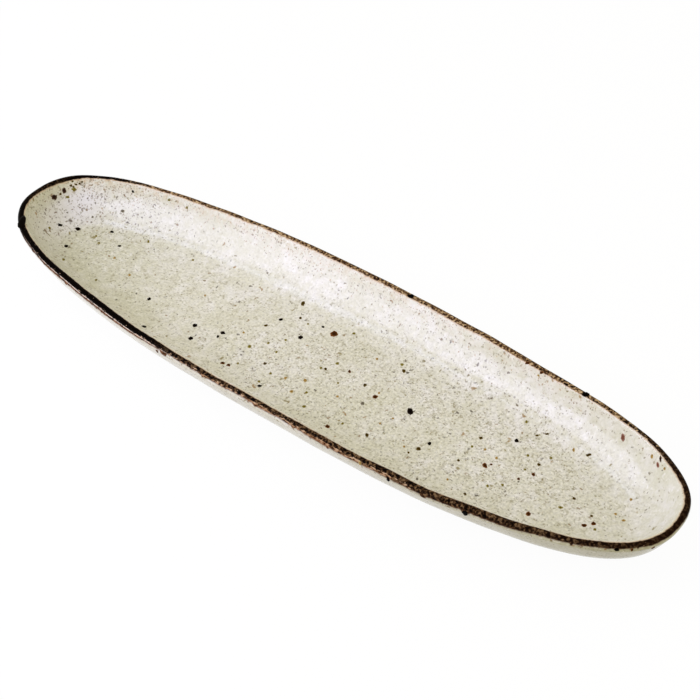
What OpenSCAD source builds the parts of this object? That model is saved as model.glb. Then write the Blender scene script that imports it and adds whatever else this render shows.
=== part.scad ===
// Long oval serving plate for asparagus, in speckled glazed stoneware with an iron-brown rim.
// Millimetres, +Z up. The origin is the middle of the foot's ground face, and +X runs along the plate.

/* [Plate] */
// Length over the glazed rim
plate_l = 380; // [320:1:440]
// Width over the glazed rim
plate_w = 106; // [90:1:140]
// Height from the table to the top of the glazed rim
plate_h = 27; // [25:0.5:32]
// Fullness of the oval: 2 is an ellipse, more is squarer at the shoulders
oval_power = 2.5; // [2.2:0.1:3.2]

/* [Clay slab] */
// Thickness of the rolled slab, in wall and floor
slab_t = 3.8; // [3:0.1:5]
// Lean of the straight upper wall, from upright
wall_lean = 28; // [24:1:36]
// Radius of the cove between wall and floor, on the slab's mid line
cove_r = 25; // [18:1:26]

/* [Foot ring] */
// Height of the foot ring
foot_h = 3; // [2:0.25:5]
// Width of the foot ring's ground face
foot_w = 5; // [3:0.5:7]
// Flat underside left outside the foot ring
foot_inset = 2; // [1:0.5:4]

/* [Glaze] */
// Thickness of a glaze coat
glaze_t = 0.4; // [0.2:0.05:0.7]
// Bare clay between the outer glaze and the flat underside
outer_bare = 3; // [1:0.5:6]
// Bare clay between the foot ring and the glaze inside it
inner_bare = 1; // [0.5:0.5:3]

/* [Iron rim] */
// Angle above level at which the iron band ends on the outside of the lip
rim_out_angle = 15; // [5:1:40]
// Angle above level at which the iron band ends on the inside of the lip
rim_in_angle = 45; // [40:1:75]

/* [Iron spots] */
// Height of a melted iron spot above the glaze
spot_rise = 0.2; // [0.1:0.05:0.4]
// Diameter of the largest spots
spot_large = 3.2; // [2:0.1:5]
// Diameter of the middling spots
spot_mid = 2.2; // [1.5:0.1:3]
// Diameter of the small spots
spot_small = 1.4; // [1:0.1:2]

/* [Hidden] */

// Points round each oval, steps along each stretch of the wall's section, and sides of a spot
oval_points = 96;
cove_steps = 6;
lip_side_steps = 2;
lip_top_steps = 3;
outer_steps = 5;
spot_sides = 12;

// The section is drawn as [inset from the plate's outline, height].
// On the slab's mid line the wall runs straight down from the lip's centre, then turns in a cove to the floor.
lip_r = slab_t / 2;
lip_inset = lip_r + glaze_t;
lip_z = plate_h - lip_r - glaze_t;
cove_z = foot_h + lip_r + cove_r;
straight = (lip_z - cove_z + cove_r * sin(wall_lean)) / cos(wall_lean);
cove_inset = lip_inset + straight * sin(wall_lean) + cove_r * cos(wall_lean);

// Finished floor
floor_z = foot_h + slab_t + glaze_t;
floor_half_l = plate_l / 2 - cove_inset;
floor_half_w = plate_w / 2 - cove_inset;

// Foot ring and the glaze inside it, as insets from the plate's outline
foot_out = cove_inset + foot_inset;
foot_in = foot_out + foot_w;
under_edge = foot_in + inner_bare;

// Angles along the section: the cove's count from level, the lip's from outward level
glaze_end = 90 - outer_bare / (cove_r + lip_r) * 180 / PI;
cove_angles = steps(90, wall_lean, cove_steps);
lip_in_angles = steps(180 - wall_lean, 180 - rim_in_angle, lip_side_steps);
lip_top_angles = concat(
    steps(180 - rim_in_angle, 90, lip_side_steps),
    tail(steps(90, rim_out_angle, lip_top_steps))
);
lip_out_angles = [rim_out_angle, 0, -wall_lean];
outer_angles = steps(wall_lean, glaze_end, outer_steps);

// Iron spots as [share of the floor's half length, share of its half width, diameter]
spots = [
    [0.32, 0.1, spot_large], [-0.06, 0.84, spot_large], [-0.42, -0.6, spot_mid], [-0.34, -0.42, spot_mid],
    [-0.24, 0.7, spot_small], [-0.12, 0.5, spot_mid], [-0.24, 0.34, spot_small], [-0.24, -0.38, spot_small],
    [-0.14, -0.58, spot_small], [0, 0.02, spot_small], [0.04, 0.36, spot_small], [0.08, 0.3, spot_small],
    [0.14, 0.18, spot_small], [0.2, 0.02, spot_mid], [0.2, -0.28, spot_small], [0, -0.48, spot_small],
    [0.28, -0.8, spot_small], [0.36, -0.56, spot_small], [0.38, -0.74, spot_small], [0.44, -0.62, spot_small],
    [0.44, -0.34, spot_mid], [0.54, -0.4, spot_small], [0.54, 0.4, spot_small], [0.54, 0.08, spot_small],
    [0.6, -0.2, spot_mid], [0.62, 0.7, spot_mid], [0.68, -0.4, spot_small], [0.72, -0.08, spot_mid],
    [0.74, 0.2, spot_small], [0.72, 0.48, spot_small], [0.86, 0.16, spot_small], [-0.62, -0.56, spot_mid],
    [-0.74, -0.22, spot_small], [-0.84, 0, spot_small]
];

function steps(from, to, count) = [for (i = [0 : count]) from + (to - from) * i / count];

function tail(list) = [for (i = [1 : len(list) - 1]) list[i]];

function reverse(list) = [for (i = [len(list) - 1 : -1 : 0]) list[i]];

function signed_pow(value, power) = sign(value) * pow(abs(value), power);

// Outline of the plate, drawn in by inset on every side
function oval(inset) = [
    for (i = [0 : oval_points - 1])
        let (turn = 360 * i / oval_points)
        [
            (plate_l / 2 - inset) * signed_pow(cos(turn), 2 / oval_power),
            (plate_w / 2 - inset) * signed_pow(sin(turn), 2 / oval_power)
        ]
];

// Stretches of the section, coat millimetres off the clay
function cove_point(angle, coat) =
    let (r = cove_r - lip_r - coat)
    [cove_inset - r * cos(angle), cove_z - r * sin(angle)];

function lip_point(angle, coat) =
    let (r = lip_r + coat)
    [lip_inset - r * cos(angle), lip_z + r * sin(angle)];

function outer_point(angle, coat) =
    let (r = cove_r + lip_r + coat)
    [cove_inset - r * cos(angle), cove_z - r * sin(angle)];

function inside_section(coat) = concat(
    [for (angle = cove_angles) cove_point(angle, coat)],
    [for (angle = lip_in_angles) lip_point(angle, coat)]
);

function lip_section(coat) = [for (angle = lip_top_angles) lip_point(angle, coat)];

function outside_section(coat) = concat(
    [for (angle = lip_out_angles) lip_point(angle, coat)],
    [for (angle = outer_angles) outer_point(angle, coat)]
);

// A four-sided patch, split along its shorter diagonal so that touching surfaces split alike
function patch(points, a, b, c, d) =
    norm(points[a] - points[c]) <= norm(points[b] - points[d])
        ? [[a, b, c], [a, c, d]]
        : [[a, b, d], [b, c, d]];

function band(points, first, second) = [
    for (i = [0 : oval_points - 1])
        let (next = (i + 1) % oval_points)
        each patch(points, first + i, first + next, second + next, second + i)
];

// Flat end of a loft, filled by strips across the oval
function cap(first) =
    let (half = oval_points / 2)
    concat(
        [[first, first + 1, first + oval_points - 1]],
        [
            for (i = [1 : half - 2])
                let (far = oval_points - i)
                each [[first + i, first + i + 1, first + far - 1], [first + i, first + far - 1, first + far]]
        ],
        [[first + half - 1, first + half, first + half + 1]]
    );

// Solid through one oval for each point of a section, open sections being closed by flat ends
module loft(section, closed) {
    points = [for (point = section) each [for (p = oval(point[0])) [p[0], p[1], point[1]]]];
    last = (len(section) - 1) * oval_points;
    sides = [for (i = [0 : len(section) - 2]) each band(points, i * oval_points, (i + 1) * oval_points)];
    ends = closed
        ? band(points, last, 0)
        : concat([for (face = cap(0)) reverse(face)], cap(last));
    polyhedron(points, concat(sides, ends), convexity = 6);
}

// Slab of even thickness: floor, coved wall and rounded lip
module clay_body() {
    section = concat(
        inside_section(0),
        tail(lip_section(0)),
        tail(outside_section(0)),
        [outer_point(90, 0)]
    );
    color("tan") loft(section, false);
}

// Low strip of clay under the floor, ground flat
module foot_ring() {
    color("burlywood")
        linear_extrude(foot_h)
            difference() {
                polygon(oval(foot_out));
                polygon(oval(foot_in));
            }
}

module inner_glaze() {
    color("beige") loft(concat(inside_section(glaze_t), reverse(inside_section(0))), false);
}

module outer_glaze() {
    color("antiquewhite") loft(concat(outside_section(glaze_t), reverse(outside_section(0))), true);
}

module underside_glaze() {
    color("antiquewhite")
        translate([0, 0, foot_h - glaze_t])
            linear_extrude(glaze_t)
                polygon(oval(under_edge));
}

// Iron band brushed over the lip
module iron_rim() {
    color([0.2, 0.14, 0.1]) loft(concat(lip_section(glaze_t), reverse(lip_section(0))), true);
}

// One melted grain: a thin flat button
module spot(diameter) {
    cylinder(d = diameter, h = spot_rise, $fn = spot_sides);
}

module iron_spots() {
    color([0.16, 0.1, 0.07])
        for (place = spots)
            translate([place[0] * floor_half_l, place[1] * floor_half_w, floor_z])
                spot(place[2]);
}

clay_body();
foot_ring();
inner_glaze();
outer_glaze();
underside_glaze();
iron_rim();
iron_spots();
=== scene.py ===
import math
import bmesh
import bpy
from mathutils import Matrix, Vector, noise


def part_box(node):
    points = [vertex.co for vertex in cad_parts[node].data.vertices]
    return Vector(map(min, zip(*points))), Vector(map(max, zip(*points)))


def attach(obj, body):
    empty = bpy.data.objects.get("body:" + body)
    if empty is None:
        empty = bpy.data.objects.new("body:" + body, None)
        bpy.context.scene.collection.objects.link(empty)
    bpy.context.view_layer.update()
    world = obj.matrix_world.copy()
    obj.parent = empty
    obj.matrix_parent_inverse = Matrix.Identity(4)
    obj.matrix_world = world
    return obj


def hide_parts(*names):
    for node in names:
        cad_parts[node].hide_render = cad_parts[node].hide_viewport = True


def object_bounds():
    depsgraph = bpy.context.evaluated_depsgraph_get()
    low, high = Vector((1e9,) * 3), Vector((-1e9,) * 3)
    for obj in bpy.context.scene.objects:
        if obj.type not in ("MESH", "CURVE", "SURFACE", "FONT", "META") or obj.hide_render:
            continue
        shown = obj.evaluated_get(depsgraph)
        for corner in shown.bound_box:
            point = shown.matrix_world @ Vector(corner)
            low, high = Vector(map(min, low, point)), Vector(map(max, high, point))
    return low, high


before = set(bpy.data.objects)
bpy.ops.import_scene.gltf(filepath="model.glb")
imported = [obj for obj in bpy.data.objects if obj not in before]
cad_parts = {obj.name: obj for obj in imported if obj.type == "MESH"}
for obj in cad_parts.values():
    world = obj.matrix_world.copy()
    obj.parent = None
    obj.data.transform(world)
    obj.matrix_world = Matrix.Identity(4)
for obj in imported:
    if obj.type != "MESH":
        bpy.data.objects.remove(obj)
cadLow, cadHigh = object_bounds()
print("frame loaded", list(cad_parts))

# the plate's own sizes, in metres, with the outer ones taken from the frame
plate = {
    "halfLength": cadHigh.x,
    "halfWidth": cadHigh.y,
    "height": cadHigh.z,
    "footHeight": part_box("foot_ring")[1].z,
    "ovalPower": 2.5,
    "slab": 0.0038,
    "glaze": 0.0004,
    "wallLean": math.radians(28),
    "coveRadius": 0.025,
    "rimIn": math.radians(135),  # where the iron band ends on the lip, inside and outside
    "rimOut": math.radians(15),
    "slit": 0.0005,  # half width of the last ring in the middle of a flat face
    "weld": 1e-6,
    "smoothBelow": math.radians(50),
}
lipRadius = plate["slab"] / 2
lipInset = lipRadius + plate["glaze"]
lipZ = plate["height"] - lipRadius - plate["glaze"]
coveZ = plate["footHeight"] + lipRadius + plate["coveRadius"]
leanSin, leanCos = math.sin(plate["wallLean"]), math.cos(plate["wallLean"])
straight = (lipZ - coveZ + plate["coveRadius"] * leanSin) / leanCos
coveInset = lipInset + straight * leanSin + plate["coveRadius"] * leanCos
floorZ = plate["footHeight"] + plate["slab"] + plate["glaze"]
slitInset = plate["halfWidth"] - plate["slit"]
print("floor at %.1f mm, cove starts %.1f mm in from the rim" % (floorZ * 1000, coveInset * 1000))


# camera, at the photograph's angle
view = {
    "azimuth": math.radians(38.15),
    "elevation": math.radians(42),
    "distance": 0.7113,
    "lens": 78.7,
    "sensor": 36,
    "slideRight": 0.01442,  # the plate's middle sits left of the frame's middle and a little above it
    "slideUp": -0.00608,
    "frameSide": 700,
}


def addCamera():
    az, el = view["azimuth"], view["elevation"]
    back = Vector((math.sin(az) * math.cos(el), -math.cos(az) * math.cos(el), math.sin(el)))
    right = Vector((math.cos(az), math.sin(az), 0))
    up = back.cross(right)
    eye = Vector((0, 0, plate["height"])) + back * view["distance"]
    eye += right * view["slideRight"] + up * view["slideUp"]
    bpy.ops.object.camera_add(location=eye)
    camera = bpy.context.object
    camera.rotation_euler = Matrix((right, up, back)).transposed().to_euler()
    camera.data.lens = view["lens"]
    camera.data.sensor_width = view["sensor"]
    bpy.context.scene.camera = camera
    return eye, right, up, back


eye, viewRight, viewUp, viewBack = addCamera()


# ray through a pixel of the photograph
def pixelRay(px, py):
    half = view["frameSide"] / 2
    focal = view["lens"] / view["sensor"] * view["frameSide"]
    ray = viewRight * (px - half) / focal - viewUp * (py - half) / focal - viewBack
    return ray.normalized()


# section of the plate as (inset from the outline, height), coat metres off the clay
def covePoint(angle, coat):
    radius = plate["coveRadius"] - lipRadius - coat
    return coveInset - radius * math.cos(angle), coveZ - radius * math.sin(angle)


def lipPoint(angle, coat):
    radius = lipRadius + coat
    return lipInset - radius * math.cos(angle), lipZ + radius * math.sin(angle)


def outerPoint(angle, coat):
    radius = plate["coveRadius"] + lipRadius + coat
    return coveInset - radius * math.cos(angle), coveZ - radius * math.sin(angle)


def steps(first, last, count):
    return [first + (last - first) * i / count for i in range(count + 1)]


def signedPower(value, power):
    return math.copysign(abs(value) ** power, value)


def ovalPoint(turn, inset):
    power = 2 / plate["ovalPower"]
    x = signedPower(math.cos(turn), power) * (plate["halfLength"] - inset)
    y = signedPower(math.sin(turn), power) * (plate["halfWidth"] - inset)
    return x, y


# distance of each point of a section from the lip's top along the surface: plus inside, minus outside, in mm
def reachAlong(section, start):
    reach = [start]
    for (inset, z), (lastInset, lastZ) in zip(section[1:], section):
        reach.append(reach[-1] + 1000 * math.hypot(inset - lastInset, z - lastZ))
    return reach


# the selected ring of a coat takes one value of lipReach
def markReach(coat, value):
    mesh = bmesh.from_edit_mesh(coat.data)
    layer = mesh.verts.layers.float["lipReach"]
    for vert in mesh.verts:
        if vert.select:
            vert[layer] = value
    bmesh.update_edit_mesh(coat.data)


# an oval ring is drawn at the section's first point, then extruded and resized from point to point
def modelCoat(name, section, reach, around, closed):
    bpy.ops.object.select_all(action="DESELECT")
    bpy.ops.mesh.primitive_circle_add(vertices=around, radius=1)
    coat = bpy.context.object
    coat.name = coat.data.name = name
    inset, z = section[0]
    for vert in coat.data.vertices:
        vert.co = (*ovalPoint(math.atan2(vert.co.y, vert.co.x), inset), z)
    coat.data.attributes.new("lipReach", "FLOAT", "POINT")
    bpy.ops.object.mode_set(mode="EDIT")
    bpy.ops.mesh.select_all(action="SELECT")
    markReach(coat, reach[0])
    stops = list(zip(section, reach))[1:]
    if closed:
        stops.append((section[0], reach[0]))
    for (nextInset, nextZ), nextReach in stops:
        bpy.ops.mesh.extrude_edges_move(TRANSFORM_OT_translate={"value": (0, 0, nextZ - z)})
        size = (
            (plate["halfLength"] - nextInset) / (plate["halfLength"] - inset),
            (plate["halfWidth"] - nextInset) / (plate["halfWidth"] - inset),
            1,
        )
        bpy.ops.transform.resize(value=size, center_override=(0, 0, nextZ))
        markReach(coat, nextReach)
        inset, z = nextInset, nextZ
    if closed:
        bpy.ops.mesh.select_all(action="SELECT")
        bpy.ops.mesh.remove_doubles(threshold=plate["weld"])
    else:
        bpy.ops.mesh.edge_face_add()  # last ring, then the first, which is the only open edge left
        bpy.ops.mesh.select_all(action="DESELECT")
        bpy.ops.mesh.select_mode(type="EDGE")
        bpy.ops.mesh.select_non_manifold()
        bpy.ops.mesh.edge_face_add()
        bpy.ops.mesh.select_all(action="DESELECT")
        bpy.ops.mesh.select_mode(type="FACE")
        bpy.ops.mesh.select_face_by_sides(number=4, type="GREATER")
        bpy.ops.mesh.quads_convert_to_tris()
        bpy.ops.mesh.select_mode(type="VERT")
    bpy.ops.mesh.select_all(action="SELECT")
    bpy.ops.mesh.normals_make_consistent(inside=False)
    bpy.ops.object.mode_set(mode="OBJECT")
    bpy.ops.object.shade_smooth_by_angle(angle=plate["smoothBelow"])
    print(name, len(coat.data.polygons), "faces")
    return coat


# the slab is pressed by hand: the whole plate bows a little, and the rim is dented here and there
handPress = {
    "bow": 0.0013,
    "twist": 0.0005,
    "dents": [(16, -0.8), (40, 0.8), (66, -1.3), (96, 0.4), (124, -0.8), (172, 0.7), (236, -1.0),
              (272, -0.7), (296, 0.6), (350, -1.1)],  # turn round the oval in degrees, push outwards in mm
    "dentWidth": 14,
    "ripple": 0.0004,
    "rippleLength": 0.018,
    "rippleSeed": 7,  # without a seed the noise vectors change with the clock
    "softCove": 0.027,  # radius of the cove where the slab was pressed less, on the far side of the left half
    "softTurns": (78, 102, 149, 164),
    "softDepth": 0.003,
    "halvings": 16,
}


# inset of a point from the plate's outline, by halving
def insetAt(x, y):
    power = plate["ovalPower"]
    low, high = 0.0, plate["halfWidth"]
    for halving in range(handPress["halvings"]):
        middle = (low + high) / 2
        u, v = x / (plate["halfLength"] - middle), y / (plate["halfWidth"] - middle)
        if abs(u) ** power + abs(v) ** power > 1:
            high = middle
        else:
            low = middle
    return low


# height above the floor of a cove of this radius that runs up into the same wall
def coveRise(inset, radius):
    share = leanCos - (1 - leanSin) * leanSin / leanCos
    wallFoot = coveInset - share * (plate["coveRadius"] - lipRadius)
    start = wallFoot + share * radius
    if inset >= start:
        return 0.0
    if inset <= start - radius * leanCos:
        return (wallFoot - inset) * leanCos / leanSin
    return radius - math.sqrt(radius ** 2 - (start - inset) ** 2)


def easeIn(value, low, high):
    share = max(0.0, min(1.0, (value - low) / (high - low)))
    return share * share * (3 - 2 * share)


def pressByHand(piece):
    a, b, power = plate["halfLength"], plate["halfWidth"], plate["ovalPower"]
    softFrom, softFull, softLast, softTo = handPress["softTurns"]
    for vert in piece.data.vertices:
        u, v = vert.co.x / a, vert.co.y / b
        turn = math.degrees(math.atan2(signedPower(v, power / 2), signedPower(u, power / 2)))
        soft = easeIn(turn % 360, softFrom, softFull) * (1 - easeIn(turn % 360, softLast, softTo))
        if soft > 0:
            inset = insetAt(vert.co.x, vert.co.y)
            rise = coveRise(inset, handPress["softCove"]) - coveRise(inset, plate["coveRadius"] - lipRadius)
            above = (vert.co.z - plate["footHeight"]) / handPress["softDepth"]
            vert.co.z += rise * soft * max(0.0, min(1.0, above))
        push = 0.0
        for dentTurn, amount in handPress["dents"]:
            away = (turn - dentTurn + 180) % 360 - 180
            push += amount / 1000 * math.exp(-(away / handPress["dentWidth"]) ** 2)
        lift = (vert.co.z - plate["footHeight"]) / (plate["height"] - plate["footHeight"])
        lift = max(0.0, min(1.0, lift))
        outwards = Vector((signedPower(u, power - 1) / a, signedPower(v, power - 1) / b, 0))
        ripple = noise.noise_vector(vert.co / handPress["rippleLength"]) * handPress["ripple"]
        if outwards.length > 0:
            vert.co += (outwards.normalized() * push + ripple) * lift
        vert.co.y += handPress["bow"] * u * u + handPress["twist"] * u ** 3


def keepPiece(piece, node, material):
    piece.data.materials.append(material)
    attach(piece, "root")
    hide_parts(node)


# colours are written as sRGB hex
def hexColour(code):
    parts = [int(code[i:i + 2], 16) / 255 for i in (1, 3, 5)]
    linear = [p / 12.92 if p <= 0.04045 else ((p + 0.055) / 1.055) ** 2.4 for p in parts]
    return (*linear, 1)


# a node with its settings, its inputs as values, links or nodes, and the stops of its ramp if it has one.
# A mix takes its share at 0 and its two sides at 2 and 3, or at 6 and 7 if they are colours
def addNode(tree, kind, inputs=(), stops=(), **settings):
    node = tree.nodes.new("ShaderNode" + kind)
    for key, value in settings.items():
        setattr(node, key, value)
    if stops:
        elements = node.color_ramp.elements
        elements.remove(elements[-1])
        for i, (position, colour) in enumerate(stops):
            stop = elements.new(position) if i else elements[0]
            stop.position = position
            stop.color = hexColour(colour) if isinstance(colour, str) else (colour, colour, colour, 1)
    for socket, value in inputs.items() if isinstance(inputs, dict) else enumerate(inputs):
        if isinstance(value, bpy.types.Node):
            value = next(output for output in value.outputs if output.enabled)
        if isinstance(value, bpy.types.NodeSocket):
            tree.links.new(value, node.inputs[socket])
        else:
            node.inputs[socket].default_value = value
    return node


def newMaterial(name):
    material = bpy.data.materials.new(name)
    material.use_nodes = True
    material.node_tree.nodes.clear()
    return material, material.node_tree


# inner glaze: floor, cove, wall and the inside of the lip
innerGlaze = {"around": 1024, "floorSteps": 8, "coveSteps": 12, "wallSteps": 3, "lipSteps": 3}


def insideSection(coat):
    ringZ = floorZ - plate["glaze"] + coat
    points = [(inset, ringZ) for inset in steps(slitInset, coveInset, innerGlaze["floorSteps"])]
    turns = steps(math.pi / 2, plate["wallLean"], innerGlaze["coveSteps"])
    points += [covePoint(a, coat) for a in turns[1:]]
    wallTop = math.pi - plate["wallLean"]
    low, high = Vector(points[-1]), Vector(lipPoint(wallTop, coat))
    points += [tuple(low.lerp(high, share)) for share in steps(0, 1, innerGlaze["wallSteps"])[1:]]
    points += [lipPoint(a, coat) for a in steps(wallTop, plate["rimIn"], innerGlaze["lipSteps"])[1:]]
    return points


def modelInnerGlaze():
    over, under = insideSection(plate["glaze"]), insideSection(0)
    edge = 1000 * (lipRadius + plate["glaze"]) * (plate["rimIn"] - math.pi / 2)
    reach = reachAlong(over[::-1], edge)[::-1]
    return modelCoat("inner_glaze_coat", over + under[::-1], reach + reach[::-1], innerGlaze["around"], False)


# iron band over the lip
ironRim = {"around": 1024, "lipSteps": 8}


def modelIronRim():
    angles = steps(plate["rimIn"], plate["rimOut"], ironRim["lipSteps"])
    over = [lipPoint(a, plate["glaze"]) for a in angles]
    under = [lipPoint(a, 0) for a in angles]
    reach = [1000 * (lipRadius + plate["glaze"]) * (a - math.pi / 2) for a in angles]
    return modelCoat("iron_rim_band", over + under[::-1], reach + reach[::-1], ironRim["around"], True)


# outer glaze: the outside of the lip, the wall and the cove under it
outerGlaze = {"around": 1024, "lipSteps": 3, "wallSteps": 3, "coveSteps": 10, "bareStrip": 0.003}
glazeEnd = math.pi / 2 - outerGlaze["bareStrip"] / (plate["coveRadius"] + lipRadius)


def outsideSection(coat):
    lipTurns = steps(plate["rimOut"], -plate["wallLean"], outerGlaze["lipSteps"])
    points = [lipPoint(a, coat) for a in lipTurns]
    high, low = Vector(points[-1]), Vector(outerPoint(plate["wallLean"], coat))
    points += [tuple(high.lerp(low, share)) for share in steps(0, 1, outerGlaze["wallSteps"])[1:]]
    points += [outerPoint(a, coat) for a in steps(plate["wallLean"], glazeEnd, outerGlaze["coveSteps"])[1:]]
    return points


def modelOuterGlaze():
    over, under = outsideSection(plate["glaze"]), outsideSection(0)
    edge = 1000 * (lipRadius + plate["glaze"]) * (plate["rimOut"] - math.pi / 2)
    reach = [edge - (r - edge) for r in reachAlong(over, edge)]
    return modelCoat("outer_glaze_coat", over + under[::-1], reach + reach[::-1], outerGlaze["around"], True)


# clay body: shows only as bare strips beside the foot
clayBody = {"around": 512, "underSteps": 6}


def modelClayBody():
    lip = [lipPoint(a, 0) for a in steps(plate["rimIn"], plate["rimOut"], ironRim["lipSteps"])[1:-1]]
    under = [(inset, plate["footHeight"]) for inset in steps(coveInset, slitInset, clayBody["underSteps"])]
    section = insideSection(0) + lip + outsideSection(0) + under
    return modelCoat("clay_body_slab", section, [0.0] * len(section), clayBody["around"], False)


# foot ring, ground flat with its edges softened
footRing = {"around": 512, "inset": 0.002, "width": 0.005, "edge": 0.0007, "edgeSteps": 4}


def modelFootRing():
    outer = coveInset + footRing["inset"]
    inner = outer + footRing["width"]
    edge = footRing["edge"]
    turns = steps(0, math.pi / 2, footRing["edgeSteps"])
    corner = [(edge * (1 - math.cos(a)), edge * (1 - math.sin(a))) for a in turns]
    section = [(outer, plate["footHeight"])]
    section += [(outer + side, z) for side, z in corner]
    section += [(inner - side, z) for side, z in corner[::-1]]
    section += [(inner, plate["footHeight"])]
    return modelCoat("foot_ring_strip", section, [0.0] * len(section), footRing["around"], True)


# glaze panel inside the foot ring, with a soft edge
undersideGlaze = {"around": 512, "bare": 0.001, "edgeSteps": 4, "panelSteps": 5, "reach": -60.0}


def modelUndersideGlaze():
    edge = coveInset + footRing["inset"] + footRing["width"] + undersideGlaze["bare"]
    thick, top = plate["glaze"], plate["footHeight"]
    section = [(inset, top) for inset in steps(slitInset, edge, undersideGlaze["panelSteps"])]
    turns = steps(0, math.pi / 2, undersideGlaze["edgeSteps"])
    section += [(edge + thick * (1 - math.cos(a)), top - thick * math.sin(a)) for a in turns[1:]]
    inwards = steps(edge + thick, slitInset, undersideGlaze["panelSteps"])
    section += [(inset, top - thick) for inset in inwards[1:]]
    reach = [undersideGlaze["reach"]] * len(section)
    return modelCoat("underside_glaze_panel", section, reach, undersideGlaze["around"], False)


innerPiece = modelInnerGlaze()
rimPiece = modelIronRim()
outerPiece = modelOuterGlaze()
bodyPiece = modelClayBody()
footPiece = modelFootRing()
underPiece = modelUndersideGlaze()
noise.seed_set(handPress["rippleSeed"])
for piece in (innerPiece, rimPiece, outerPiece, bodyPiece, footPiece, underPiece):
    pressByHand(piece)
bpy.context.view_layer.update()


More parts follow.
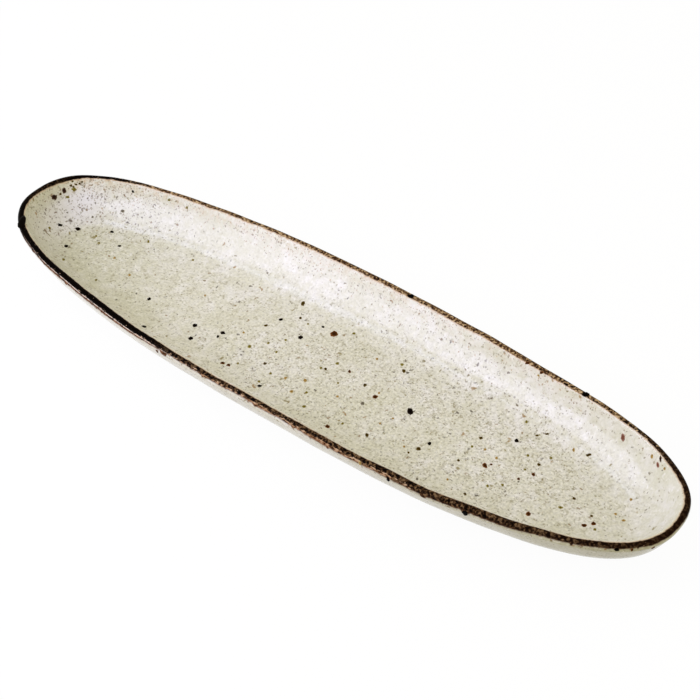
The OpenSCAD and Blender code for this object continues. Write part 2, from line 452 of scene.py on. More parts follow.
# iron grains by tone, each as its pixel in the photograph and its width and height there
ironGrains = {
    "black": {"core": "#060302", "edge": "#2C2014", "grains": [
        (410, 411.5, 6.5, 6.5), (300.5, 337.5, 5, 3.3), (195, 325.5, 5, 3.5), (190.5, 338.5, 4.5, 3.5),
        (223, 333, 5, 3), (218, 336.5, 2.4, 3), (281, 319.5, 4, 2.7), (323, 327, 3, 2.2),
        (429.5, 443.5, 4, 3.2), (516.5, 440.5, 4, 3.6), (259.5, 386, 4.5, 2.8), (149, 299, 4, 3),
        (144, 326.5, 5, 2), (78, 229, 5, 3.3), (112, 232, 4, 2.5),
        (119.5, 246, 3.8, 2.3), (66.5, 246, 4.5, 2.7), (60, 225, 4.5, 3), (133, 191.5, 2.5, 2.5)]},
    "pitch": {"core": "#050302", "edge": "#0D0805", "grains": [
        (411, 296, 7, 4.5), (585.5, 394.5, 7, 4.5), (388, 479, 4, 5), (465, 513, 6, 5), (617, 549.5, 5, 3.5),
        (22, 222, 7.5, 14)]},
    "rust": {"core": "#331A07", "edge": "#86552A", "grains": [
        (334, 334, 7, 6), (375, 397, 5, 4), (485, 465.5, 5, 4.6), (518.5, 479, 3.2, 2.6),
        (533.5, 474.5, 3.7, 3.4), (528.5, 514, 4.5, 3.5), (327.5, 426.5, 4.5, 3.5), (491, 464.5, 3, 1.8),
        (527.5, 363, 5, 3), (541.5, 372.5, 4, 3), (222.5, 363, 4.5, 2.7), (228.5, 365, 4, 2.7),
        (349.5, 371.5, 3.2, 2.8), (157, 351.5, 3, 4), (653, 548, 4, 3), (632, 550, 3, 2.5),
        (584, 525.5, 5, 3), (593.5, 523.5, 5, 3.2)]},
    "umber": {"core": "#352709", "edge": "#83703F", "grains": [
        (418.5, 449, 5, 3.5), (481, 438, 4, 2.7), (458.5, 460.5, 3, 2.4), (539, 464.5, 3.5, 2.6),
        (265, 363.5, 3.7, 2.7), (465, 494, 3, 2.5), (574, 498.5, 3.5, 2.5), (591.5, 516, 3, 2.2),
        (367, 435, 3.4, 3.4), (408.5, 452.5, 2.7, 2.2), (547, 434, 4, 2), (537, 435.5, 3, 2),
        (588.5, 455, 6, 3), (404, 371, 3.7, 3.4), (365, 385, 3.5, 3.2), (325.5, 369, 3.2, 2.8),
        (300.5, 318, 3.5, 2.8), (266, 325.5, 3.7, 2.7), (303, 303.5, 4, 5),
        (71, 185.5, 2.6, 2.2), (73.5, 187.2, 2.2, 2.6), (76, 184.5, 2.8, 2), (79.5, 183.6, 2.3, 2),
        (82, 182, 2.2, 2), (60.5, 194, 2.4, 2.4), (72.5, 181.3, 2.4, 1.8)]},
    "plum": {"core": "#25150F", "edge": "#6B5444", "grains": [
        (54, 197, 6, 5.5), (64, 190.5, 4, 6), (660.5, 459, 3, 6)]},
    "brick": {"core": "#6A4030", "edge": "#B39282", "grains": [(623, 437.5, 5, 8), (658, 465, 3.6, 6)]},
    "olive": {"core": "#685C1C", "edge": "#AEA674", "grains": [
        (321, 368, 3.2, 2.6), (337.5, 363.5, 3.5, 2.8), (402, 364.5, 3.5, 3), (249.5, 346.5, 4, 3.5),
        (238, 363.5, 2.7, 2.2), (270.5, 373.5, 3, 2.4), (472, 446.5, 3, 2.4), (502.5, 485, 3, 2.8),
        (487.5, 486, 3, 2.4), (528, 455.5, 3, 2.6), (551, 458, 3, 2.4), (525, 469.5, 2.7, 2.2),
        (560.5, 507.5, 5, 2.4), (526.5, 422, 3, 3), (342.5, 423.5, 3, 2.4), (304, 406.5, 5, 2.5),
        (306.5, 392.5, 3, 2.4), (338, 383, 2.5, 2.2), (354, 333.5, 3.2, 2.6), (285.5, 340, 2.5, 2.2),
        (308, 324, 2.5, 2.2), (268.5, 343, 2.5, 2.5), (276.5, 352, 2.5, 2.2), (259, 381.5, 3, 2.4),
        (148.5, 241.5, 2.5, 3.5), (99, 243, 3, 2.2), (96, 236, 2.5, 2.2), (49.5, 228, 2.5, 2.5),
        (63.5, 259.5, 3, 2.4), (96, 280, 2.5, 2.2), (193, 260, 2.5, 2.2), (187, 207.5, 2.5, 2.5),
        (169, 200, 3, 2.5), (74, 189.5, 5, 4), (67.5, 197, 4, 2.5), (595, 529.5, 3.4, 3)]},
    "tan": {"core": "#94743A", "edge": "#C6B88E", "grains": [
        (305, 380.5, 4, 3.6), (285.5, 378, 3.5, 3), (291.5, 391.5, 4, 3), (337.5, 396.5, 3, 2.4),
        (379, 393, 2.7, 2.7), (377, 359, 3, 2.8), (393, 418.5, 2.6, 2.4), (380, 423.5, 2.2, 2.4),
        (243.5, 332.5, 2.7, 2.2), (404, 446.5, 2.5, 2.2), (485, 449.5, 3.4, 2.4), (496.5, 458, 3, 2.6),
        (447.5, 479.5, 2.7, 2.2), (114.5, 258, 3, 2.4), (129.5, 275, 3, 2.5), (205, 295.5, 2.5, 2.2),
        (652, 456.5, 3.4, 4.4), (664.5, 468.5, 3.4, 3.4), (631, 499.5, 3, 2.8), (615.5, 514, 3, 2.2),
        (623.5, 520.5, 4, 2.2), (538.5, 375.5, 2.6, 2.4), (573.5, 450, 3, 4), (360, 463, 3, 5)]},
    "grey": {"core": "#5F594B", "edge": "#9B9483", "grains": [
        (362.5, 403.5, 4, 3.4), (122.5, 211, 4, 3), (92.5, 217, 2.5, 2.2), (417, 479, 2.7, 2.2)]},
}
# sizes as shares of a grain's radius
grainShape = {
    "sides": 14,
    "depth": 0.12,
    "steps": ((0.3, 0.05), (0.35, 0.03)),
    "ragged": 0.5,
    "raggedScale": 1.7,
    "raggedTo": 5,  # taller ones, in pixels, melt rounder
    "edgePower": 4,
    "leastTilt": 0.35,
}


# one grain of radius 1: a short drum with its top inset and raised into a low dome
def modelGrain():
    bpy.ops.object.select_all(action="DESELECT")
    bpy.ops.mesh.primitive_cylinder_add(vertices=grainShape["sides"], radius=1, depth=grainShape["depth"])
    grain = bpy.context.object
    bpy.ops.object.mode_set(mode="EDIT")
    bpy.ops.mesh.select_mode(type="FACE")
    bpy.ops.mesh.select_all(action="DESELECT")
    bpy.ops.object.mode_set(mode="OBJECT")
    for face in grain.data.polygons:
        face.select = face.normal.z > 0.9  # the top face
    bpy.ops.object.mode_set(mode="EDIT")
    for thickness, rise in grainShape["steps"]:
        bpy.ops.mesh.inset(thickness=thickness, depth=rise)
    bpy.ops.mesh.select_mode(type="VERT")
    bpy.ops.object.mode_set(mode="OBJECT")
    bpy.ops.object.shade_smooth()
    return grain


def castPixel(px, py):
    hits = [piece.ray_cast(eye, pixelRay(px, py)) for piece in (innerPiece, rimPiece, outerPiece)]
    hits = [(place, normal) for hit, place, normal, index in hits if hit]
    return min(hits, key=lambda hit: (hit[0] - eye).length) if hits else None


# lays a grain on the surface so that it shows at its width and height in the photograph
def grainMatrix(place, normal, wide, tall):
    metresPerPixel = (place - eye).length / (view["lens"] / view["sensor"] * view["frameSide"])
    across = (viewRight - normal * viewRight.dot(normal)).normalized()
    along = normal.cross(across)
    tilt = max(abs(along.dot(viewUp)), grainShape["leastTilt"])
    halfWide = wide / 2 * metresPerPixel
    halfTall = tall / 2 * metresPerPixel / tilt
    axes = Matrix((across * halfWide, along * halfTall, normal * min(halfWide, halfTall))).transposed()
    return Matrix.Translation(place) @ axes.to_4x4()


def modelIronGrains():
    master = modelGrain()
    copies = []
    for kind in ironGrains.values():
        core, rimColour = Vector(hexColour(kind["core"])), Vector(hexColour(kind["edge"]))
        for px, py, wide, tall in kind["grains"]:
            found = castPixel(px, py)
            if found is None:
                continue
            bpy.ops.object.select_all(action="DESELECT")
            master.select_set(True)
            bpy.context.view_layer.objects.active = master
            bpy.ops.object.duplicate()
            copy = bpy.context.object
            ragged = grainShape["ragged"] * min(1.0, grainShape["raggedTo"] / tall)
            colours = copy.data.attributes.new("grainColour", "FLOAT_COLOR", "POINT")
            for vert in copy.data.vertices:
                radius = min(1.0, vert.co.xy.length)
                colours.data[vert.index].color = core.lerp(rimColour, radius ** grainShape["edgePower"])
                flat = Vector((vert.co.x, vert.co.y, 0)) * grainShape["raggedScale"]
                vert.co.xy *= 1 + ragged * noise.noise(flat + Vector((px, py, wide)))
            copy.matrix_world = grainMatrix(*found, wide, tall)
            copies.append(copy)
    bpy.data.objects.remove(master)
    bpy.ops.object.select_all(action="DESELECT")
    for copy in copies:
        copy.select_set(True)
    bpy.context.view_layer.objects.active = copies[0]
    bpy.ops.object.join()
    piece = bpy.context.object
    piece.name = piece.data.name = "iron_grains"
    bpy.ops.object.transform_apply(location=True, rotation=True, scale=True)
    print("iron grains", len(copies))
    return piece


grainPiece = modelIronGrains()


# shares along the plate, from its left end at 0 to its right end at 1, for its far and its near side
alongPlate = {
    "specksFar": ((0, 0.9), (0.1, 0.7), (0.2, 0.19), (0.4, 0.21), (0.55, 0.38), (0.8, 0.42), (0.9, 0.22),
                  (1, 0.08)),
    "specksNear": ((0, 0.4), (0.2, 0.25), (0.36, 0.35), (0.5, 0.45), (0.8, 0.45), (0.9, 0.2), (1, 0.1)),
    "leftEnd": ((0, 0.85), (0.03, 1), (0.06, 1), (0.12, 0.4), (0.17, 0.1), (0.22, 0)),
    # painted reflection, by place along the plate
    "paintedReflectionAlong": ((0.008, 0), (0.025, 0.75), (0.045, 0.68), (0.06, 0.38), (0.075, 0.15), (0.12, 0.12), (0.22, 0)),
    # thick glaze and painted shade at the ends, most at the near side's left end
    "thickFar": ((0, 0.2), (0.05, 0.15), (0.12, 0.4), (0.3, 0), (0.8, 0), (0.9, 0.12), (1, 0.25)),
    "thickNear": ((0, 0.75), (0.03, 0.55), (0.12, 0.47), (0.3, 0), (0.8, 0), (0.9, 0.15), (1, 0.35)),
    # painted shade on the outer wall towards the right end
    "shade": ((0.55, 0), (0.8, 0.6), (0.95, 1)),
    "calm": ((0, 0.75), (0.3, 0.8), (0.5, 1), (0.85, 1), (1, 0.6)),
    "edgeFar": ((0, 1.1), (0.015, 0.95), (0.04, 0.66), (0.1, 0.6), (0.16, 0.5), (0.5, 0.65), (0.8, 0.7),
                (0.94, 0.5), (1, 0.2)),
    "edgeNear": ((0, 0.7), (0.02, 0.6), (0.05, 0.45), (0.28, 0.55), (0.36, 0.25), (0.44, 0.1), (0.54, 0.15),
                 (0.6, 0.35), (0.7, 0.5), (0.9, 0.45), (0.97, 0.1), (1, 0.1)),
    "lowFar": ((0, 0.9), (1, 0.9)),
    "lowNear": ((0, 1), (0.3, 1), (0.38, 0.72), (0.54, 0.72), (0.62, 0.95), (0.7, 1), (0.82, 0.86),
                (1, 0.75)),
    "burntFar": ((0, 0.5), (0.008, 0.5), (0.02, 1), (0.08, 0.9), (0.16, 0.1), (0.86, 0.1), (0.94, 0.6),
                 (1, 0.8)),
    "burntNear": ((0, 1), (0.34, 1), (0.42, 0.2), (0.6, 0), (0.8, 0), (0.92, 0.4), (1, 0.8)),
    "skinFar": ((0, 0), (0.06, 0.1), (0.14, 0.75), (0.4, 0.85), (0.7, 0.7), (0.9, 0.45), (0.96, 0)),
    "skinNear": ((0.1, 0), (0.2, 0.18), (0.36, 0.32), (0.42, 0.5), (0.62, 0.8), (0.68, 0.75), (0.73, 0.3),
                 (0.78, 0)),
    # painted highlight line: none on the far side, along the near side's left half
    "lineFar": ((0, 0), (1, 0)),
    "lineNear": ((0.06, 0), (0.12, 0.6), (0.2, 0.75), (0.34, 0.75), (0.39, 0)),
    "stainFar": ((0, 0.3), (0.03, 0.8), (0.1, 0.65), (0.35, 0.65), (0.55, 0.6), (0.75, 0.35), (1, 0)),
    "stainNear": ((0, 0), (1, 0)),
    "russetFar": ((0, 0.3), (0.03, 0.3), (0.06, 0)),
    "russetNear": ((0.05, 0), (0.12, 0.8), (0.36, 0.8), (0.45, 0.3), (0.8, 0.2), (1, 0)),
}


# a share along the plate, blended from its near to its far ramp by side
def shareAlong(tree, along, side, key):
    far = addNode(tree, "ValToRGB", [along], stops=alongPlate[key + "Far"])
    near = addNode(tree, "ValToRGB", [along], stops=alongPlate[key + "Near"])
    return addNode(tree, "Mix", {0: side, 2: near, 3: far})


# cream glaze. A noise scale is one over the size of its marks in metres. Names in At give the noise levels
# where a mark starts and is full, then its strength there. Names in Mm are distances from the top of the lip
glaze = {
    "cream": "#DBD9CA",
    "blush": "#E7E5DF",
    "moss": "#D5D3BF",
    # colour of thick glaze, also laid as painted shade
    "thickGlazeAndShade": "#BDBCA0",
    "worm": "#938A68",
    "gap": "#EDEBE7",
    # painted reflection: a bluish white sheen on the far wall of the left end
    "paintedReflection": "#EFEDF7",
    "noises": {
        "broad": {"Scale": 1 / 0.022, "Detail": 3},
        "cloud": {"Scale": 1 / 0.005, "Detail": 4},
        "worms": {"Scale": 1 / 0.0026, "Detail": 3, "Roughness": 0.65, "Distortion": 1.2},
        "fine": {"Scale": 1 / 0.0012, "Detail": 2},
        "pebble": {"Scale": 1 / 0.003, "Detail": 2},
    },
    "blushAt": (0.42, 0.66),
    "mossAt": (0.45, 0.75),
    "wormAt": (0.54, 0.72, 0, 0.76),
    "gapAt": (0.46, 0.26, 0, 0.7),
    "grainAt": (0.3, 0.7, 0.79, 1.1),
    "patchAt": (0.3, 0.7, 1.3, 0.7),
    "roughAt": (0.3, 0.7, 0.10, 0.18),
    "farStrip": (-0.02, 0.02),  # the near side turns into the far side across this strip of y
    "tipStrip": (-0.03, 0.01),
    "reflectionFromMm": (3, 12),  # painted reflection on the far wall of the left end, between these distances from the lip
    "reflectionToMm": (31, 27),
    "calmMm": (12, 38),  # the pattern is calmer on the walls than on the floor
    "calm": 0.35,
    "leftEndMm": (34, 22),  # the left end's own specks lie between here and the rim
    "farRimMm": (15, 4),
    "wallSpecks": (0.9, 1.45),  # share of specks on the walls and on the floor
    "outerSpecks": 0.7,
    "shine": 0.4,
    "ior": 1.5,
    "pebbleHeight": 0.00007,
}

# specks: cell in metres, share of cells filled, radius in cells, where they lie, colours
specks = {
    "jitter": 1.3,  # marks per cell that bend its outline, and how far in cells
    "bend": 1.4,
    "middle": (0.5, 0.5, 0.5),  # of the noise's range
    "softEdge": (1, 0.5),
    "kinds": [
        {"cell": 0.0013, "share": 0.95, "radius": (0.24, 0.55), "strength": 0.6, "where": "spread",
         "colours": ("#6C603E", "#867852", "#767044", "#564830")},
        {"cell": 0.0026, "share": 0.65, "radius": (0.14, 0.34), "strength": 0.8, "where": "spread",
         "colours": ("#544228", "#6C5E2C", "#7E6234", "#362A1C")},
        {"cell": 0.0055, "share": 1, "radius": (0.1, 0.24), "strength": 0.8, "where": "spread",
         "colours": ("#6E5628", "#7F7236", "#94743E", "#4A361E")},
        {"cell": 0.0018, "share": 0.9, "radius": (0.2, 0.43), "strength": 0.8, "where": "leftEnd",
         "colours": ("#5A4434", "#6E523C", "#463226", "#7E6246")},
        {"cell": 0.0012, "share": 1.3, "radius": (0.2, 0.46), "strength": 0.75, "where": "farRim",
         "colours": ("#8A6A50", "#A3805E", "#6A4C3A", "#B4946E")},
    ],
}


# lays one kind of speck over a colour, in cells with bent outlines
def speckLayer(tree, place, colour, crowd, kind):
    cell = kind["cell"]
    jitter = addNode(tree, "TexNoise", {"Vector": place, "Scale": specks["jitter"] / cell, "Detail": 1})
    push = addNode(tree, "VectorMath", [jitter.outputs["Color"], specks["middle"]], operation="SUBTRACT")
    bent = addNode(tree, "VectorMath", [push, (cell * specks["bend"],) * 3, place], operation="MULTIPLY_ADD")
    cells = addNode(tree, "TexVoronoi", {"Vector": bent, "Scale": 1 / cell})
    luck = addNode(tree, "SeparateColor", [cells.outputs["Color"]]).outputs
    radius = addNode(tree, "MapRange", [luck[1], 0, 1, *kind["radius"]])
    share = addNode(tree, "Math", [crowd, kind["share"]], operation="MULTIPLY")
    keep = addNode(tree, "Math", [luck[0], share], operation="LESS_THAN")
    ratio = addNode(tree, "Math", [cells.outputs["Distance"], radius], operation="DIVIDE")
    soft = addNode(tree, "MapRange", [ratio, *specks["softEdge"], 0, kind["strength"]])
    part = addNode(tree, "Math", [soft, keep], operation="MULTIPLY")
    shades = [(i / len(kind["colours"]), code) for i, code in enumerate(kind["colours"])]
    tint = addNode(tree, "ValToRGB", [luck[2]], stops=shades)
    tint.color_ramp.interpolation = "CONSTANT"
    return addNode(tree, "Mix", {0: part, 6: colour, 7: tint}, data_type="RGBA")


# glaze colour, roughness and height, from Object coordinates and the distance to the lip
def glazeLayers(tree):
    place = addNode(tree, "TexCoord").outputs["Object"]
    reach = addNode(tree, "Attribute", attribute_name="lipReach").outputs["Fac"]
    axes = addNode(tree, "SeparateXYZ", [place]).outputs
    along = addNode(tree, "MapRange", [axes[0], -plate["halfLength"], plate["halfLength"]])
    farSide = addNode(tree, "MapRange", [axes[1], *glaze["farStrip"]])
    tipSide = addNode(tree, "MapRange", [axes[1], *glaze["tipStrip"]])
    isInner = addNode(tree, "Math", [reach, 0], operation="GREATER_THAN")
    marks = {}
    for key, settings in glaze["noises"].items():
        marks[key] = addNode(tree, "TexNoise", {"Vector": place, **settings})
    calm = addNode(tree, "MapRange", [reach, *glaze["calmMm"], glaze["calm"]])
    quiet = addNode(tree, "ValToRGB", [along], stops=alongPlate["calm"])
    calm = addNode(tree, "Math", [calm, quiet], operation="MULTIPLY")
    # cream, with paler blush and greener moss clouds, dark worm marks and pale gaps between them
    blushPart = addNode(tree, "MapRange", [marks["cloud"], *glaze["blushAt"]])
    mossPart = addNode(tree, "MapRange", [marks["broad"], *glaze["mossAt"]])
    wormPart = addNode(tree, "MapRange", [marks["worms"], *glaze["wormAt"]])
    wormPart = addNode(tree, "Math", [wormPart, calm], operation="MULTIPLY")
    gapPart = addNode(tree, "MapRange", [marks["worms"], *glaze["gapAt"]])
    # deeper where the coat is thick at the ends, partly painted shade there, with painted shade outside
    # towards the right end, and a painted reflection on the far wall of the left end
    thick = shareAlong(tree, along, farSide, "thick")
    # painted shade on the outer wall towards the right end
    shade = addNode(tree, "ValToRGB", [along], stops=alongPlate["shade"])
    thickGlazeAndShadePart = addNode(tree, "Mix", {0: isInner, 2: shade, 3: thick})
    # painted reflection on the far wall of the left end
    paintedReflectionPart = addNode(tree, "ValToRGB", [along], stops=alongPlate["paintedReflectionAlong"])
    reflectionFrom = addNode(tree, "MapRange", [reach, *glaze["reflectionFromMm"]])
    reflectionTo = addNode(tree, "MapRange", [reach, *glaze["reflectionToMm"]])
    for factor in (reflectionFrom, reflectionTo, tipSide):
        paintedReflectionPart = addNode(tree, "Math", [paintedReflectionPart, factor], operation="MULTIPLY")
    colour = addNode(tree, "Mix", {0: blushPart, 6: hexColour(glaze["cream"]), 7: hexColour(glaze["blush"])},
                     data_type="RGBA")
    layers = {"moss": mossPart, "thickGlazeAndShade": thickGlazeAndShadePart, "worm": wormPart, "gap": gapPart, "paintedReflection": paintedReflectionPart}
    for key, part in layers.items():
        colour = addNode(tree, "Mix", {0: part, 6: colour, 7: hexColour(glaze[key])}, data_type="RGBA")
    grain = addNode(tree, "MapRange", [marks["fine"], *glaze["grainAt"]])
    colour = addNode(tree, "Mix", {0: calm, 6: colour, 7: grain}, data_type="RGBA", blend_type="MULTIPLY")
    # specks lie all over, fewer on the walls, and gather at the left end and under the far rim
    wall = addNode(tree, "MapRange", [calm, glaze["calm"], 1, *glaze["wallSpecks"]])
    spread = shareAlong(tree, along, farSide, "specks")
    spread = addNode(tree, "Math", [spread, wall], operation="MULTIPLY")
    spread = addNode(tree, "Mix", {0: isInner, 2: glaze["outerSpecks"], 3: spread})
    crowds = {"spread": spread}
    for where, ramp, side in (("leftEnd", "leftEnd", tipSide), ("farRim", "stainFar", farSide)):
        crowds[where] = addNode(tree, "ValToRGB", [along], stops=alongPlate[ramp])
        nearRim = addNode(tree, "MapRange", [reach, *glaze[where + "Mm"]])
        for factor in (nearRim, side):
            crowds[where] = addNode(tree, "Math", [crowds[where], factor], operation="MULTIPLY")
    patch = addNode(tree, "MapRange", [marks["broad"], *glaze["patchAt"]])
    for kind in specks["kinds"]:
        crowd = addNode(tree, "Math", [crowds[kind["where"]], patch], operation="MULTIPLY")
        colour = speckLayer(tree, place, colour, crowd, kind)
    rough = addNode(tree, "MapRange", [marks["cloud"], *glaze["roughAt"]])
    return {"place": place, "reach": reach, "along": along, "across": axes[1], "isInner": isInner,
            "colour": colour, "rough": rough, "height": marks["pebble"]}


# iron band, with names in At and Mm as for the glaze; Mm is plus inside the lip and minus outside
iron = {
    "inside": 2.4,  # mm that the band reaches down from the top of the lip where its share is 1
    "outside": 3.3,
    "wobble": 0.6,
    "edgeMm": (-0.2, 0.25),  # mm into the band, as for the halo and the rust
    "dripAt": (0.62, 0.8, 0, 2.6),  # drips up to this many mm long
    "runs": (1, 1, 0.12),  # drawn out down the wall
    "streak": 0.5,  # marks are drawn out along the rim by the brush
    "farStrip": (-0.015, 0.015),
    "noises": {
        "ragged": {"Scale": 1 / 0.0025, "Detail": 4, "Roughness": 0.6},
        "slow": {"Scale": 1 / 0.02, "Detail": 1},
        "drips": {"Scale": 1 / 0.005, "Detail": 1},
        "blotches": {"Scale": 1 / 0.0012, "Detail": 3},
        "beads": {"Scale": 1 / 0.0011, "Detail": 2},
        "flecks": {"Scale": 1 / 0.001, "Detail": 2},
    },
    "tones": ((0.38, "#060302"), (0.46, "#170D07"), (0.54, "#402C1B"), (0.64, "#735C42")),
    "burntTones": ((0.5, "#060302"), (0.9, "#1D0E07")),  # browner towards the right end
    "beadTones": ((0.37, "#1E1009"), (0.46, "#472E1B"), (0.56, "#8C7150"), (0.67, "#BDA580")),
    "streakTones": ((0.36, "#3A2113"), (0.44, "#6E4A32"), (0.54, "#9A7758"), (0.66, "#BFA286")),
    "skinMm": (-1, -2),
    "skinPatchAt": (0.3, 0.7, 0.6, 1.3),
    "skinWeight": 0.5,
    "skinAt": (0.7, 0.8),
    "russet": "#7A5238",
    "russetMm": (-1.9, -2.6),
    "russetAt": (0.36, 0.52),
    # painted highlight: a pale line along the near lip's outward curve
    "line": "#E6DACB",
    "highlightMiddle": -2.3,
    "highlightMm": (0.28, 0.1),  # mm from the line's middle
    "highlightAt": (0.36, 0.5),
    "stain": "#C4AF8C",
    "stainMm": (10, 1),
    "stainAt": (0.42, 0.66),
    "halo": "#BF9468",
    "haloMm": (-0.8, -0.05, 0, 0.6),
    "rust": "#5A2C18",
    "rustMm": (-0.7, 0.1, 0, 0.8),
    "shine": 0.01,
    "rough": 0.3,
}


# lays the band, and the stain beside it, over a glaze
def ironOver(tree, base):
    place, reach, along = base["place"], base["reach"], base["along"]
    farSide = addNode(tree, "MapRange", [base["across"], *iron["farStrip"]])
    share = {}
    for key in ("edge", "low", "burnt", "skin", "line", "stain", "russet"):
        share[key] = shareAlong(tree, along, farSide, key)
    runs = addNode(tree, "VectorMath", [place, iron["runs"]], operation="MULTIPLY")
    drawn = addNode(tree, "VectorMath", [place, (iron["streak"],) * 3], operation="MULTIPLY")
    depth = addNode(tree, "Math", [reach, 0.001], operation="MULTIPLY")  # mm to metres
    depth = addNode(tree, "CombineXYZ", {"Z": depth})
    brushed = addNode(tree, "VectorMath", [drawn, depth], operation="ADD")
    vectors = {"drips": runs, "flecks": brushed}
    marks = {}
    for key, settings in iron["noises"].items():
        marks[key] = addNode(tree, "TexNoise", {"Vector": vectors.get(key, place), **settings})
    # ragged edges: fromInside and fromOutside are mm into the band
    wobble = addNode(tree, "Math", [marks["ragged"], marks["slow"]], operation="ADD")
    swing = 2 * iron["wobble"]
    wobble = addNode(tree, "Math", [wobble, swing, -swing], operation="MULTIPLY_ADD")
    inside = addNode(tree, "Math", [share["edge"], iron["inside"], wobble], operation="MULTIPLY_ADD")
    fromInside = addNode(tree, "Math", [inside, reach], operation="SUBTRACT")
    drop = addNode(tree, "MapRange", [marks["drips"], *iron["dripAt"]])
    fromOutside = addNode(tree, "Math", [share["low"], iron["outside"], wobble], operation="MULTIPLY_ADD")
    for more in (drop, reach):
        fromOutside = addNode(tree, "Math", [fromOutside, more], operation="ADD")
    inBand = addNode(tree, "MapRange", [fromInside, *iron["edgeMm"]])
    outBand = addNode(tree, "MapRange", [fromOutside, *iron["edgeMm"]])
    band = addNode(tree, "Math", [inBand, outBand], operation="MULTIPLY")
    # dark body of the band, burnt black towards the ends
    tone = addNode(tree, "ValToRGB", [marks["blotches"]], stops=iron["tones"])
    burnt = addNode(tree, "ValToRGB", [along], stops=iron["burntTones"])
    dark = addNode(tree, "Mix", {0: share["burnt"], 6: tone, 7: burnt}, data_type="RGBA")
    # tan with dark beads on the far side, and lighter streaks drawn out along the near side's outward face
    pattern = addNode(tree, "Mix", {0: farSide, 2: marks["flecks"], 3: marks["beads"]})
    beads = addNode(tree, "ValToRGB", [marks["beads"]], stops=iron["beadTones"])
    streaks = addNode(tree, "ValToRGB", [marks["flecks"]], stops=iron["streakTones"])
    skinColour = addNode(tree, "Mix", {0: farSide, 6: streaks, 7: beads}, data_type="RGBA")
    faceDown = addNode(tree, "MapRange", [reach, *iron["skinMm"]])
    facing = addNode(tree, "Math", [faceDown, farSide], operation="MAXIMUM")
    patchy = addNode(tree, "MapRange", [marks["slow"], *iron["skinPatchAt"]])
    cover = share["skin"]
    for factor in (facing, patchy):
        cover = addNode(tree, "Math", [cover, factor], operation="MULTIPLY")
    cover = addNode(tree, "Math", [cover, iron["skinWeight"], pattern], operation="MULTIPLY_ADD")
    skin = addNode(tree, "MapRange", [cover, *iron["skinAt"]])
    # thin and russet along the lower edge, most on the near side's left half
    lowEdge = addNode(tree, "MapRange", [reach, *iron["russetMm"]])
    thin = addNode(tree, "MapRange", [marks["flecks"], *iron["russetAt"]])
    for factor in (lowEdge, share["russet"]):
        thin = addNode(tree, "Math", [thin, factor], operation="MULTIPLY")
    # a thin painted highlight along the lip's outward curve, low on the near side's left half, broken into
    # dashes
    offHighlight = addNode(tree, "Math", [reach, -iron["highlightMiddle"]], operation="ADD")
    offHighlight = addNode(tree, "Math", [offHighlight], operation="ABSOLUTE")
    line = addNode(tree, "MapRange", [offHighlight, *iron["highlightMm"]])
    highlightGaps = addNode(tree, "MapRange", [marks["flecks"], *iron["highlightAt"]])
    for factor in (highlightGaps, share["line"]):
        line = addNode(tree, "Math", [line, factor], operation="MULTIPLY")
    # bare holds the colour of the painted highlight
    russet, bare = hexColour(iron["russet"]), hexColour(iron["line"])
    for part, tint in ((skin, skinColour), (thin, russet), (line, bare)):
        dark = addNode(tree, "Mix", {0: part, 6: dark, 7: tint}, data_type="RGBA")
    # stained glaze: a faint blush under the far rim, a fine tan line inside and a rust line outside
    blush = addNode(tree, "MapRange", [reach, *iron["stainMm"]])
    patches = addNode(tree, "MapRange", [marks["ragged"], *iron["stainAt"]])
    for factor in (share["stain"], patches):
        blush = addNode(tree, "Math", [blush, factor], operation="MULTIPLY")
    halo = addNode(tree, "MapRange", [fromInside, *iron["haloMm"]])
    halo = addNode(tree, "Math", [halo, base["isInner"]], operation="MULTIPLY")
    isOuter = addNode(tree, "Math", [reach, 0], operation="LESS_THAN")
    rust = addNode(tree, "MapRange", [fromOutside, *iron["rustMm"]])
    rust = addNode(tree, "Math", [rust, isOuter], operation="MULTIPLY")
    colour = base["colour"]
    for part, key in ((blush, "stain"), (halo, "halo"), (rust, "rust")):
        colour = addNode(tree, "Mix", {0: part, 6: colour, 7: hexColour(iron[key])}, data_type="RGBA")
    colour = addNode(tree, "Mix", {0: band, 6: colour, 7: dark}, data_type="RGBA")
    rough = addNode(tree, "Mix", {0: band, 2: base["rough"], 3: iron["rough"]})
    shine = addNode(tree, "MapRange", [band, 0, 1, glaze["shine"], iron["shine"]])
    return colour, rough, shine


# fired feldspar glaze: milky cream with fine iron specks, a slightly pebbled gloss, an iron band at the lip
def speckledGlaze(name):
    material, tree = newMaterial(name)
    base = glazeLayers(tree)
    colour, rough, shine = ironOver(tree, base)
    bump = addNode(tree, "Bump", {"Height": base["height"], "Distance": glaze["pebbleHeight"]})
    shader = addNode(tree, "BsdfPrincipled", {"Base Color": colour, "Roughness": rough, "IOR": glaze["ior"],
                                             "Specular IOR Level": shine, "Normal": bump})
    addNode(tree, "OutputMaterial", {"Surface": shader})
    return material


# fired stoneware left bare: warm buff, matt, with darker grog
clay = {
    "buff": "#BFA27E",
    "toast": "#A07E58",
    "grog": "#6B5238",
    "cloudSize": 0.01,
    "grogSize": 0.0022,
    "grogAt": (0.28, 0.18, 0, 0.8),
    "toothSize": 0.0009,
    "toothHeight": 0.0001,
    "rough": 0.85,
}


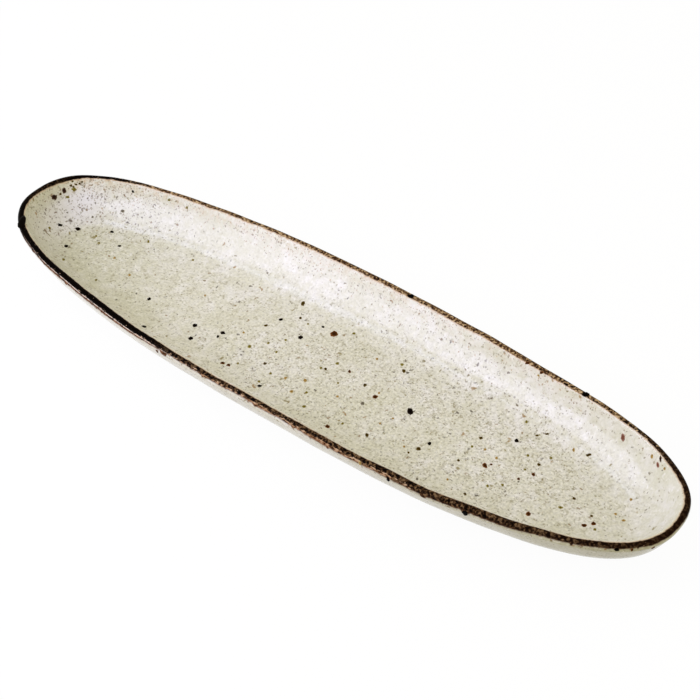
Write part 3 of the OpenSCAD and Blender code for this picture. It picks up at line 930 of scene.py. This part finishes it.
def bareStoneware(name):
    material, tree = newMaterial(name)
    place = addNode(tree, "TexCoord").outputs["Object"]
    cloud = addNode(tree, "TexNoise", {"Vector": place, "Scale": 1 / clay["cloudSize"], "Detail": 5})
    colour = addNode(tree, "Mix", {0: cloud, 6: hexColour(clay["buff"]), 7: hexColour(clay["toast"])},
                     data_type="RGBA")
    grog = addNode(tree, "TexVoronoi", {"Vector": place, "Scale": 1 / clay["grogSize"]})
    dots = addNode(tree, "MapRange", [grog.outputs["Distance"], *clay["grogAt"]])
    colour = addNode(tree, "Mix", {0: dots, 6: colour, 7: hexColour(clay["grog"])}, data_type="RGBA")
    tooth = addNode(tree, "TexNoise", {"Vector": place, "Scale": 1 / clay["toothSize"], "Detail": 3})
    bump = addNode(tree, "Bump", {"Height": tooth, "Distance": clay["toothHeight"]})
    shader = addNode(tree, "BsdfPrincipled", {"Base Color": colour, "Roughness": clay["rough"],
                                             "Normal": bump})
    addNode(tree, "OutputMaterial", {"Surface": shader})
    return material


# iron grains melted through the glaze: dark glassy heart, thin stained edge
grainLook = {"mottleSize": 0.0008, "mottleAt": (0.3, 0.7, 0.7, 1.3), "rough": 0.35, "ior": 1.5}


def meltedIron(name):
    material, tree = newMaterial(name)
    place = addNode(tree, "TexCoord").outputs["Object"]
    own = addNode(tree, "Attribute", attribute_name="grainColour").outputs["Color"]
    mottle = addNode(tree, "TexNoise", {"Vector": place, "Scale": 1 / grainLook["mottleSize"], "Detail": 2})
    shade = addNode(tree, "MapRange", [mottle, *grainLook["mottleAt"]])
    colour = addNode(tree, "Mix", {0: 1, 6: own, 7: shade}, data_type="RGBA", blend_type="MULTIPLY")
    shader = addNode(tree, "BsdfPrincipled", {"Base Color": colour, "Roughness": grainLook["rough"],
                                             "IOR": grainLook["ior"], "Specular IOR Level": iron["shine"]})
    addNode(tree, "OutputMaterial", {"Surface": shader})
    return material


glazeMaterial = speckledGlaze("creamFeldsparGlazeDipped")
ironMaterial = speckledGlaze("ironOxideBrushedOnLip")
clayMaterial = bareStoneware("buffStonewareFiredBare")
grainMaterial = meltedIron("ironGrainMeltedInGlaze")
keepPiece(innerPiece, "inner_glaze", glazeMaterial)
keepPiece(rimPiece, "iron_rim", ironMaterial)
keepPiece(outerPiece, "outer_glaze", glazeMaterial)
keepPiece(bodyPiece, "clay_body", clayMaterial)
keepPiece(footPiece, "foot_ring", clayMaterial)
keepPiece(underPiece, "underside_glaze", glazeMaterial)
keepPiece(grainPiece, "iron_spots", grainMaterial)
print("materials laid")


# white studio floor that keeps a soft shadow and throws little light back up
studio = {
    "floorSize": 6,
    "paper": "#FFFFFF",
    "bounce": "#B9AF92",
    "keepWhite": 0.96,
    "worldLight": 0.78,
    "worldColour": "#FFF8DF",
}


def addFloor():
    bpy.ops.mesh.primitive_plane_add(size=studio["floorSize"], location=(0, 0, 0))
    floor = bpy.context.object
    floor.name = "studio_floor"
    material, tree = newMaterial("whitePaperSweep")
    path = addNode(tree, "LightPath").outputs
    look = path["Is Camera Ray"]
    for ray in ("Is Glossy Ray", "Is Transmission Ray"):
        look = addNode(tree, "Math", [look, path[ray]], operation="MAXIMUM")
    tint = addNode(tree, "Mix", {0: look, 6: hexColour(studio["bounce"]), 7: hexColour(studio["paper"])},
                   data_type="RGBA")
    paper = addNode(tree, "BsdfDiffuse", {"Color": tint})
    white = addNode(tree, "Emission", {"Color": hexColour(studio["paper"]), "Strength": 1})
    share = addNode(tree, "Math", [look, studio["keepWhite"]], operation="MULTIPLY")
    mixed = addNode(tree, "MixShader", [share, paper, white])
    addNode(tree, "OutputMaterial", {"Surface": mixed})
    floor.data.materials.append(material)


def addWorld():
    world = bpy.data.worlds.new("studioRoom")
    bpy.context.scene.world = world
    world.use_nodes = True
    tree = world.node_tree
    tree.nodes.clear()
    room = addNode(tree, "Background", {"Color": hexColour(studio["worldColour"]),
                                       "Strength": studio["worldLight"]})
    white = addNode(tree, "Background", {"Color": hexColour(studio["paper"]), "Strength": 1})
    look = addNode(tree, "LightPath").outputs["Is Camera Ray"]
    mixed = addNode(tree, "MixShader", [look, room, white])
    addNode(tree, "OutputWorld", {"Surface": mixed})


# soft boxes, each 1 m from the plate: where it stands in degrees, its size, its roll and its power
softBoxes = {
    "frontWindow": {"azimuth": -36.4, "elevation": 31.6, "roll": -19.7, "size": (0.80, 0.67), "watts": 7.75,
                    "colour": "#D9DBFF"},
    "sideWindow": {"azimuth": -71, "elevation": 59.5, "roll": -73, "size": (0.20, 0.29), "watts": 0.76,
                   "colour": "#CAD5FF"},
}


def addSoftBox(name, box):
    az, el = math.radians(box["azimuth"]), math.radians(box["elevation"])
    place = Vector((math.sin(az) * math.cos(el), -math.cos(az) * math.cos(el), math.sin(el)))
    bpy.ops.object.light_add(type="AREA", location=place)
    lamp = bpy.context.object
    lamp.name = name
    lamp.data.shape = "RECTANGLE"
    lamp.data.size, lamp.data.size_y = box["size"]
    lamp.data.energy = box["watts"]
    lamp.data.color = hexColour(box["colour"])[:3]
    facing = (-place).to_track_quat("-Z", "Y").to_matrix()
    lamp.rotation_euler = (facing @ Matrix.Rotation(math.radians(box["roll"]), 3, "Z")).to_euler()


addFloor()
addWorld()
for name, box in softBoxes.items():
    addSoftBox(name, box)
bpy.context.scene.view_settings.view_transform = "Standard"
print("studio lit")
